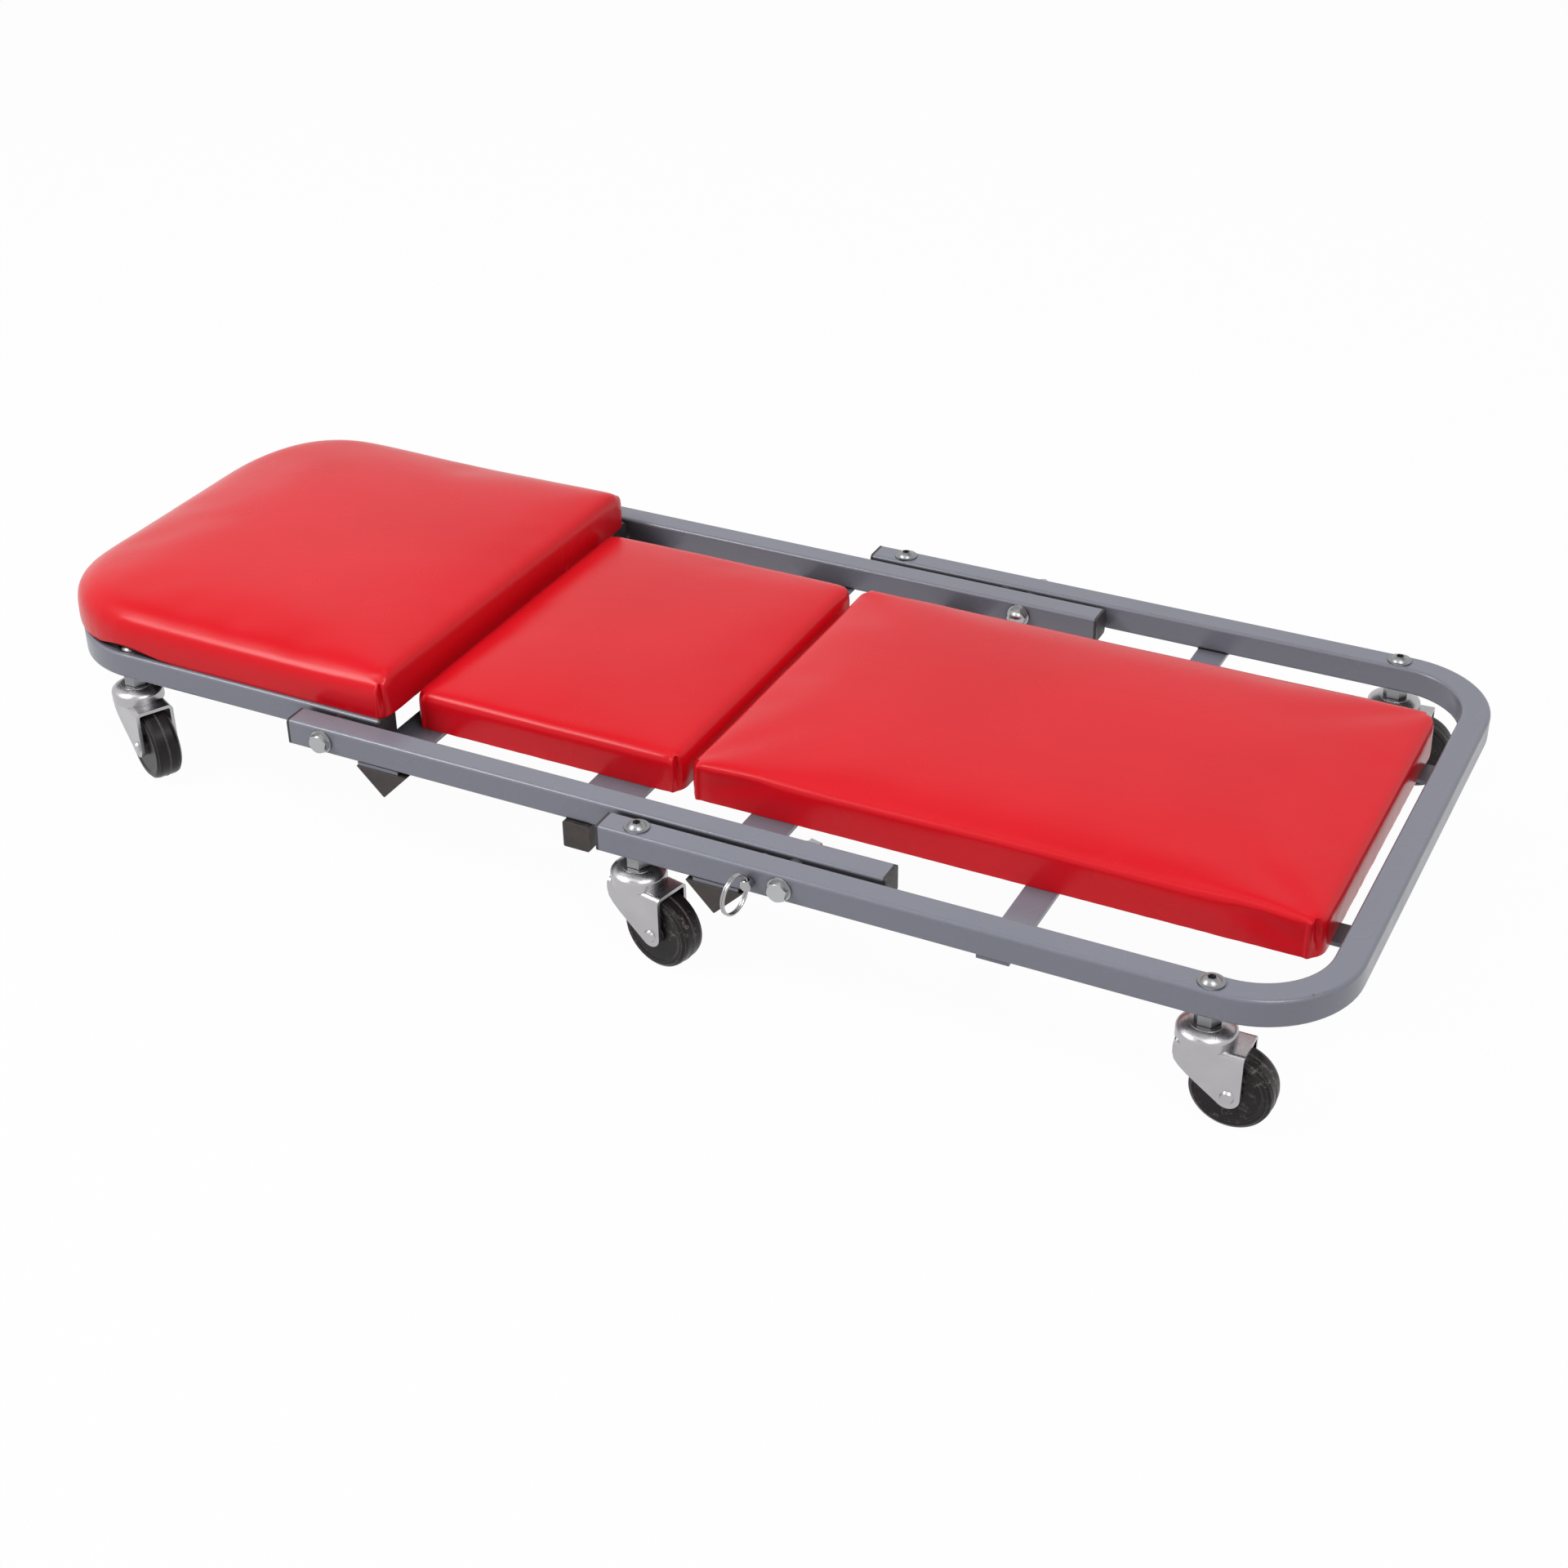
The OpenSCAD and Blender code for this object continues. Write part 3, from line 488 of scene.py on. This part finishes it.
class PadForm:
    """The measures of one pad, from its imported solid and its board.

    head_r and foot_r round the corners of the outline and edge_round the top
    edge. The side walls end lift below the solid's top. roll is how far in
    and how far down a broad roll of the edge reaches, head_drop how far the
    head end falls away, and reach how far the vinyl runs past its solid
    towards the head end."""

    def __init__(self, part, head_r, foot_r, edge_round, lift, seed,
                 roll=None, head_drop=0.0, reach=0.0):
        self.node = part + "_pad"
        self.low, self.high = (Vector(corner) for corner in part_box(self.node))
        self.low.x -= reach
        self.board_low, self.board_high = (Vector(corner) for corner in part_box(part + "_board"))
        self.head_r, self.foot_r, self.edge_round = head_r, foot_r, edge_round
        self.roll, self.head_drop, self.seed = roll, head_drop, seed
        self.rise = lift * CROWN_SHARE
        self.edge_z = self.high.z - lift
        self.rim_z = self.board_low.z + RIM_ABOVE_BOARD
        side_proud = ROLLED_PROUD if roll else VINYL_PROUD
        head_proud = ROLLED_PROUD if roll else END_PROUD
        self.least = Vector((self.low.x - head_proud, self.low.y - side_proud, 0))
        self.most = self.high + Vector((END_PROUD, side_proud, TOP_PROUD))

    def edge_shares(self, co):
        """How far out a point lies along X and Y, from 0 in the middle to 1."""
        mid = (self.low + self.high) / 2
        half = (self.high - self.low) / 2
        return abs(co.x - mid.x) / half.x, abs(co.y - mid.y) / half.y

    def square_corners(self):
        """Each corner where the vinyl is gathered, with the sign of X there."""
        ends = [(self.high.x, 1)]
        if self.head_r < SQUARE_CORNER_R:
            ends.append((self.low.x, -1))
        return [(Vector((x, side * self.high.y, 0)), end)
                for x, end in ends for side in SIDES.values()]


def rim_distance(co, low, high, head_r, foot_r):
    """How far in from a rounded outline a point lies."""
    mid = (low + high) / 2
    half = (high - low) / 2
    radius = head_r if co.x < mid.x else foot_r
    x = abs(co.x - mid.x) - half.x + radius
    y = abs(co.y - mid.y) - half.y + radius
    return radius - math.hypot(max(x, 0), max(y, 0)) - min(max(x, y), 0)


def foam_block(form):
    """An evenly meshed block of the pad's outline with a soft top edge."""
    inset = Vector((FOAM_INSET, FOAM_INSET, 0))
    low = form.low + inset
    high = form.high - inset
    low.z = form.rim_z - FOAM_BELOW_RIM
    high.z = form.edge_z - FOAM_INSET
    block = box_piece(form.node + "_vinyl", low, high)
    round_uprights(block, form.head_r, form.foot_r, CORNER_STEPS)
    select_edges(block, lambda a, b: min(a.z, b.z) > high.z - 0.01 * MM)
    bpy.ops.mesh.bevel(offset=form.edge_round, offset_type="OFFSET", segments=EDGE_STEPS,
                       affect="EDGES", clamp_overlap=True)
    bpy.ops.object.mode_set(mode="OBJECT")
    remesh = block.modifiers.new("even_faces", "REMESH")
    remesh.mode = "VOXEL"
    remesh.voxel_size = FOAM_VOXEL
    apply_modifiers(block)
    return block


def roll_edge(pad, form):
    """Round the sides and the head end over in one broad roll that eases off
    towards the foot end."""
    beyond_foot = form.high + Vector((ROLL_PAST_FOOT, 0, 0))
    step = 0.1 * MM
    for vertex in pad.data.vertices:
        co = vertex.co
        fade = 1 - ROLL_EASE * ramp((co.x - form.high.x + ROLL_EASE_OVER) / ROLL_EASE_OVER)
        wide, tall = (size * fade for size in form.roll)

        def inside(dx, dy):
            place = Vector((co.x + dx, co.y + dy, 0))
            return rim_distance(place, form.low, beyond_foot, form.head_r, 1 * MM)
        out = 1 - inside(0, 0) / wide
        up = 1 - (form.edge_z - co.z) / tall
        if out <= 0 or up <= 0:
            continue
        share = max(out, up) / math.hypot(out, up)
        inward = Vector((inside(step, 0) - inside(-step, 0), inside(0, step) - inside(0, -step)))
        if inward.length > 0:
            inward.normalize()
        co.x += inward.x * wide * out * (1 - share)
        co.y += inward.y * wide * out * (1 - share)
        co.z = form.edge_z - tall * (1 - up * share)


def crown(pad, form):
    """Lift the middle of the top, and let the head end fall away softly."""
    for vertex in pad.data.vertices:
        co = vertex.co
        u, v = form.edge_shares(co)
        top = ramp((co.z - (form.edge_z - CROWN_DEPTH)) / CROWN_DEPTH)
        co.z += form.rise * top * (1 - min(u, 1) ** CROWN_ALONG) * (1 - min(v, 1) ** CROWN_ACROSS)
        toward_head = max((form.low.x + HEAD_SLOPE - co.x) / HEAD_SLOPE, 0)
        co.z -= form.head_drop * top * toward_head ** HEAD_SLOPE_POWER


def weigh(pad, name, weight_at):
    """A vertex group with the weight that a function gives for each place."""
    group = pad.vertex_groups.new(name=name)
    for vertex in pad.data.vertices:
        weight = weight_at(vertex.co)
        if weight > 0:
            group.add([vertex.index], weight, "REPLACE")


def hold_between(pad, axis, least, most):
    for vertex in pad.data.vertices:
        vertex.co[axis] = min(max(vertex.co[axis], least), most)


def run_cloth(pad):
    """Simulate the filling, and keep the last frame's shape."""
    activate(pad)
    cloth = pad.modifiers.new("filling", "CLOTH")
    for name, value in CLOTH.items():
        setattr(cloth.settings, name, value)
    cloth.settings.effector_weights.gravity = 0
    cloth.point_cache.frame_start = 1
    cloth.point_cache.frame_end = SIM_FRAMES
    for step in range(1, SIM_FRAMES + 1):
        bpy.context.scene.frame_set(step)
    bpy.ops.object.modifier_apply(modifier=cloth.name)
    bpy.context.scene.frame_set(1)


def swell(pad, form):
    """Fill the taut cover: a cloth run under pressure, its rim held down."""
    weigh(pad, "held", lambda co: 1 - ramp((co.z - form.board_high.z) / HELD_BLEND))
    starts = [vertex.co.copy() for vertex in pad.data.vertices]
    run_cloth(pad)
    for vertex, start in zip(pad.data.vertices, starts):
        move = vertex.co - start
        if move.length > 1e-9:
            capped = SWELL_CAP * math.tanh(move.length / SWELL_CAP)
            vertex.co = start + move.normalized() * capped
    pad.vertex_groups.clear()
    for axis in (X, Y, Z):
        hold_between(pad, axis, form.least[axis], form.most[axis])


def even_out(pad, form):
    """Smooth the top and the rolled edge, then make every face finer."""
    soft_edge = max(form.edge_round, form.roll[0] if form.roll else 0)

    def on_top(co):
        inner = rim_distance(co, form.low, form.high, form.head_r, form.foot_r) - soft_edge
        return ramp(inner / TOP_BLEND) if co.z > form.board_high.z else 0

    def off_foot_end(co):
        above_board = ramp((co.z - form.board_high.z) / (5 * MM))
        return ramp((form.high.x - 4 * MM - co.x) / (12 * MM)) * above_board
    weigh(pad, "flat", on_top)
    rounds = [(TOP_TURNS, "flat")]
    if form.roll:
        weigh(pad, "rolled", off_foot_end)
        rounds.append((ROLL_TURNS, "rolled"))
    for turns, group in rounds + [(1, "")]:
        taut = pad.modifiers.new("taut", "SMOOTH")
        taut.factor = 0.5
        taut.iterations = turns
        taut.vertex_group = group
    finer = pad.modifiers.new("finer", "SUBSURF")
    finer.levels = finer.render_levels = 1
    apply_modifiers(pad)
    pad.vertex_groups.clear()


def cut_level(pad, z):
    """Cut the pad off flat at its rim."""
    activate(pad)
    bpy.ops.object.mode_set(mode="EDIT")
    bpy.ops.mesh.select_all(action="SELECT")
    bpy.ops.mesh.bisect(plane_co=(0, 0, z), plane_no=(0, 0, 1), use_fill=True, clear_inner=True)
    bpy.ops.object.mode_set(mode="OBJECT")


def refine_corners(pad, form):
    """Smaller faces round each gathered corner, so that its fold is crisp."""
    corners = [corner for corner, _ in form.square_corners()]

    def near_corner(face):
        return any((face.center.xy - corner.xy).length < TUCK_REACH for corner in corners)
    select_only(pad, "FACE", near_corner)
    bpy.ops.mesh.subdivide(number_cuts=2, smoothness=0.0)
    bpy.ops.object.mode_set(mode="OBJECT")


def tuck_corners(pad, form):
    """The vinyl is gathered at each corner: the side ends in a crisp upright
    fold with a hollow loop beside it."""
    radius = form.foot_r
    for index, (corner, end) in enumerate(form.square_corners()):
        side = math.copysign(1, corner.y)
        lean = 0.12 * math.sin(form.seed + index * 2.1)
        for vertex in pad.data.vertices:
            co = vertex.co
            out_x = (co.x - corner.x) * end + radius
            out_y = (co.y - corner.y) * side + radius
            reach = math.hypot(out_x, out_y)
            if min(out_x, out_y) < -2 * MM or reach < radius - TUCK_SKIN:
                continue
            turn = math.atan2(out_x, out_y) - lean
            h = (co.z - form.rim_z) / (form.edge_z - form.rim_z)
            fold = FOLD_OUT * bell((turn - FOLD_TURN) / FOLD_WIDTH)
            loop = LOOP_IN * bell((turn - LOOP_TURN - 0.10 * (1 - h)) / LOOP_WIDTH)
            loop *= ramp((h + 0.1) / 0.7)
            below_top = ramp((1.02 - h) / 0.16)
            near_skin = ramp((reach - radius + TUCK_SKIN) / (3 * MM))
            push = (fold - loop) * below_top * near_skin / reach
            co.x += end * push * out_x
            co.y += side * push * out_y


def pucker(pad, form):
    """Soft gathers low on the sides and faint pulls over the top. The noise
    scales are in waves per metre."""
    mid_x = (form.low.x + form.high.x) / 2
    seed = form.seed
    for vertex in pad.data.vertices:
        co = vertex.co
        u, v = form.edge_shares(co)
        lowness = 1 - ramp((co.z - form.rim_z) / GATHER_HEIGHT)
        rim = ramp((max(u, v) - RIM_SHARE) / 0.06)
        if rim > 0:
            run = noise.noise(Vector((co.x * 42 + seed, co.y * 42, seed)))
            fine = noise.noise(Vector((co.x * 130 + seed, co.y * 130, co.z * 30)))
            push = (run * 0.8 + fine * 0.5) * GATHER * rim * (0.2 + lowness)
            if u >= v:
                co.x += math.copysign(push, co.x - mid_x)
            else:
                co.y += math.copysign(push, co.y)
        broad = noise.noise(Vector((co.x * 11 + seed, co.y * 17, 0.3)))
        close = noise.noise(Vector((co.x * 26, co.y * 31 + seed, 1.7)))
        pulled = ramp((max(u, v) - PULL_SHARE) / 0.4)
        co.z += (broad + 0.5 * close) * 0.9 * GATHER * (1 - lowness) * pulled


def cut_board_recess(pad, form):
    """Open the pad's underside so that the board lies inside it."""
    low = form.board_low - Vector((BOARD_CLEAR, BOARD_CLEAR, RECESS_BELOW))
    high = form.board_high + Vector((BOARD_CLEAR, BOARD_CLEAR, BOARD_CLEAR / 2))
    cutter = box_piece("board_cutter", low, high)
    round_uprights(cutter, form.head_r - RECESS_R_LESS, form.foot_r - RECESS_R_LESS, RECESS_STEPS)
    cut_away(pad, cutter)


def make_room_for_screws(pad, form, screws):
    """Raise the pad's lower edge over the heads of the caster screws."""
    for vertex in pad.data.vertices:
        co = vertex.co
        for x, y in screws:
            near = bell(math.hypot(co.x - x, co.y - y) / SCREW_ROOM_R)
            co.z += SCREW_ROOM * near * (1 - ramp((co.z - form.rim_z) / SCREW_ROOM_HEIGHT))


def vinyl_pad(form, body, screws=()):
    """One upholstered pad that laps down round its board."""
    pad = foam_block(form)
    if form.roll:
        roll_edge(pad, form)
    crown(pad, form)
    swell(pad, form)
    even_out(pad, form)
    cut_level(pad, form.rim_z)
    refine_corners(pad, form)
    tuck_corners(pad, form)
    pucker(pad, form)
    hold_between(pad, X, form.least.x - END_SLACK, form.most.x + END_SLACK)
    cut_board_recess(pad, form)
    make_room_for_screws(pad, form, screws)
    dress(pad, FINISHES["red_vinyl"])
    face_outwards(pad)
    smooth(pad, 60)
    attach(pad, body)
    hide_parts(form.node)


def make_pads():
    long_form = PadForm("long", 10 * MM, 13 * MM, 7 * MM, 6 * MM, seed=3.1)
    mid_form = PadForm("mid", 10 * MM, 10 * MM, 7 * MM, 6 * MM, seed=7.7, reach=4.5 * MM)
    head_form = PadForm("head", 95 * MM, 8 * MM, 6 * MM, 8 * MM, seed=12.4,
                        roll=(22 * MM, 15 * MM), head_drop=8 * MM)
    boxes = [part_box("stem_head_" + side) for side in SIDES]
    head_screws = [((low[0] + high[0]) / 2, (low[1] + high[1]) / 2) for low, high in boxes]
    vinyl_pad(long_form, "foot")
    vinyl_pad(mid_form, "link")
    vinyl_pad(head_form, "head", head_screws)


# ------------------------------------------------------- small hard pieces

def board_screw():
    """Pan-head screw with a cross recess, head down, seat at the origin."""
    head_r, head_height = 4.2 * MM, 2.4 * MM
    deselect_all()
    bpy.ops.mesh.primitive_cylinder_add(vertices=28, radius=head_r, depth=head_height,
                                        location=(0, 0, -head_height / 2))
    screw = settle(bpy.context.object, "board_screw")
    select_edges(screw, lambda a, b: max(a.z, b.z) < 0.1 * MM - head_height)
    bpy.ops.mesh.bevel(offset=1.1 * MM, segments=4, affect="EDGES")
    bpy.ops.object.mode_set(mode="OBJECT")
    slot_low = Vector((-2.2 * MM, -0.5 * MM, -2.8 * MM))
    slot_high = Vector((2.2 * MM, 0.5 * MM, -1.2 * MM))
    for turn in (0, math.pi / 2):
        cut_away(screw, box_piece("slot_cutter", slot_low, slot_high, turn))
    dress(screw, FINISHES["zinc"])
    smooth(screw, 40)
    return screw


def weld_bead():
    """A rippled weld bead along Y, centred on the origin."""
    ripples = 7
    deselect_all()
    bpy.ops.mesh.primitive_cylinder_add(vertices=12, radius=BEAD_R, depth=BEAD_LENGTH,
                                        rotation=(math.pi / 2, 0, 0))
    bead = settle(bpy.context.object, "weld_bead")
    select_edges(bead, lambda a, b: abs(a.y - b.y) > BEAD_LENGTH / 2)
    bpy.ops.mesh.subdivide(number_cuts=15)
    bpy.ops.object.mode_set(mode="OBJECT")
    for vertex in bead.data.vertices:
        along = vertex.co.y / BEAD_LENGTH
        wave = 1 + 0.22 * math.sin(along * 2 * math.pi * ripples)
        end = 1 - 0.55 * ramp((abs(along) - 0.40) / 0.10)
        vertex.co.x *= wave * end
        vertex.co.z *= wave * end * 0.85
    dress(bead, FINISHES["frame_paint"])
    smooth(bead, 50)
    return bead


def copies_at(source, places, name, body):
    """One joined piece of copies, each with its own mesh and place."""
    parts = []
    for place, turn in places:
        part = source.copy()
        part.data = source.data.copy()
        bpy.context.collection.objects.link(part)
        part.location = place
        part.rotation_euler.z = turn
        parts.append(part)
    deselect_all()
    for part in parts:
        part.select_set(True)
    bpy.context.view_layer.objects.active = parts[0]
    bpy.ops.object.join()
    group = settle(parts[0], name)
    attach(group, body)


def row_at(x, z, ys, turns):
    """Places across the frame, each with its turn."""
    return [(Vector((x, y, z)), turn) for y, turn in zip(ys, turns)]


def make_board_screws():
    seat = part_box("foot_frame")[0][2]
    screw = board_screw()
    foot_screws = row_at(FOOT_STOP_X, seat, (-0.10, 0.10), (0, 0.4))
    foot_screws += row_at(FOOT_LIGHT_X, seat, (-0.10, 0.10), (0, 0.4))
    foot_screws += row_at(TAB_SCREW_X, seat, (-TAB_Y, TAB_Y), (0.3, 0.3))
    link_screws = row_at(LINK_MID_X, seat, (-0.10, 0.0, 0.10), (0, 0.7, 1.4))
    link_screws += row_at(LINK_STOP_X + LINK_STOP_SCREWS_ON, seat, (-0.09, 0.09), (0.5, 0.5))
    copies_at(screw, foot_screws, "foot_board_screws", "foot")
    copies_at(screw, link_screws, "link_board_screws", "link")
    bpy.data.objects.remove(screw, do_unlink=True)


def make_weld_beads():
    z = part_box("foot_frame")[0][2] + STRIP_THICK - BEAD_SUNK
    narrow_off = NARROW_HALF + BEAD_OFF_EDGE
    wide_off = WIDE_HALF + BEAD_OFF_EDGE
    bead = weld_bead()
    foot_beads = []
    link_beads = []
    for side in SIDES.values():
        for edge in (-1, 1):
            strip_x = FOOT_LIGHT_X + edge * narrow_off
            tab_y = side * TAB_Y + edge * narrow_off
            link_x = LINK_MID_X + edge * wide_off
            foot_beads.append((Vector((strip_x, side * FOOT_BEAD_Y, z)), 0))
            foot_beads.append((Vector((TAB_BEAD_X, tab_y, z)), math.pi / 2))
            link_beads.append((Vector((link_x, side * LINK_BEAD_Y, z)), 0))
    copies_at(bead, foot_beads, "foot_weld_beads", "foot")
    copies_at(bead, link_beads, "link_weld_beads", "link")
    bpy.data.objects.remove(bead, do_unlink=True)


# ------------------------------------------------------ camera, light, floor

def aimed(at, aim):
    """The turn that points a lamp or camera from one place at another."""
    return (Vector(aim) - Vector(at)).to_track_quat("-Z", "Y").to_euler()


def place_camera():
    data = bpy.data.cameras.new("photo_camera")
    data.lens = CAMERA_LENS
    data.sensor_width = SENSOR_WIDTH
    data.clip_start = NEAREST_SEEN
    camera = bpy.data.objects.new("photo_camera", data)
    bpy.context.collection.objects.link(camera)
    camera.location = CAMERA_AT
    camera.rotation_euler = aimed(CAMERA_AT, CAMERA_AIM)
    camera.rotation_euler.rotate_axis("Z", CAMERA_ROLL)
    bpy.context.scene.camera = camera


def hang_lamps():
    for name, (at, aim, size, watts) in LAMPS.items():
        data = bpy.data.lights.new(name, "AREA")
        data.shape = "RECTANGLE"
        data.size, data.size_y = size
        data.energy = watts
        lamp = bpy.data.objects.new(name, data)
        bpy.context.collection.objects.link(lamp)
        lamp.location = at
        lamp.rotation_euler = aimed(at, aim)


def light_world():
    """A white world that lights gently, and whose ceiling mirrors as dark."""
    world = bpy.data.worlds.new("studio")
    bpy.context.scene.world = world
    world.use_nodes = True
    sky = NodeTree(world.node_tree)
    background = sky.nodes["Background"]
    background.inputs["Color"].default_value = (1, 1, 1, 1)
    strength = sky.band(sky.background_rays(), to_low=WORLD_LIGHT, to_high=WORLD_SEEN)
    direction = sky.add("ShaderNodeTexCoord").outputs["Generated"]
    height = sky.add("ShaderNodeSeparateXYZ", sources={"Vector": direction}).outputs["Z"]
    ceiling = sky.band(height, CEILING_FROM, CEILING_FULL, to_high=CEILING_DARK)
    mirrored = sky.calc("MULTIPLY", sky.ray("Is Glossy Ray"), ceiling)
    sky.tree.links.new(sky.calc("SUBTRACT", strength, mirrored), background.inputs["Strength"])
    bpy.context.scene.view_settings.view_transform = "Standard"


def lay_floor():
    """White sweep: it lights the object as plain white paper does, looks
    white itself, and keeps a pale shadow."""
    deselect_all()
    bpy.ops.mesh.primitive_plane_add(size=FLOOR_SIZE, location=(0, 0, 0))
    floor = bpy.context.object
    floor.name = "studio_floor"
    f = Finish("white_floor", (0.62, 0.62, 0.62), 0.8, specular=0.1)
    f.paint(f.blend_colours(f.grain(3, 2), (0.615, 0.615, 0.615), (0.625, 0.625, 0.625)))
    paper = f.add("ShaderNodeEmission", {"Color": (1, 1, 1, 1)}).outputs["Emission"]
    share = f.band(f.background_rays(), to_high=FLOOR_WHITE_SHARE)
    joined = f.add("ShaderNodeMixShader", sources={0: share, 1: f.shader.outputs["BSDF"], 2: paper})
    f.tree.links.new(joined.outputs["Shader"], f.nodes["Material Output"].inputs["Surface"])
    dress(floor, f.material)


dress_cad_nodes()
make_pads()
make_board_screws()
make_weld_beads()
lay_floor()
hang_lamps()
light_world()
place_camera()
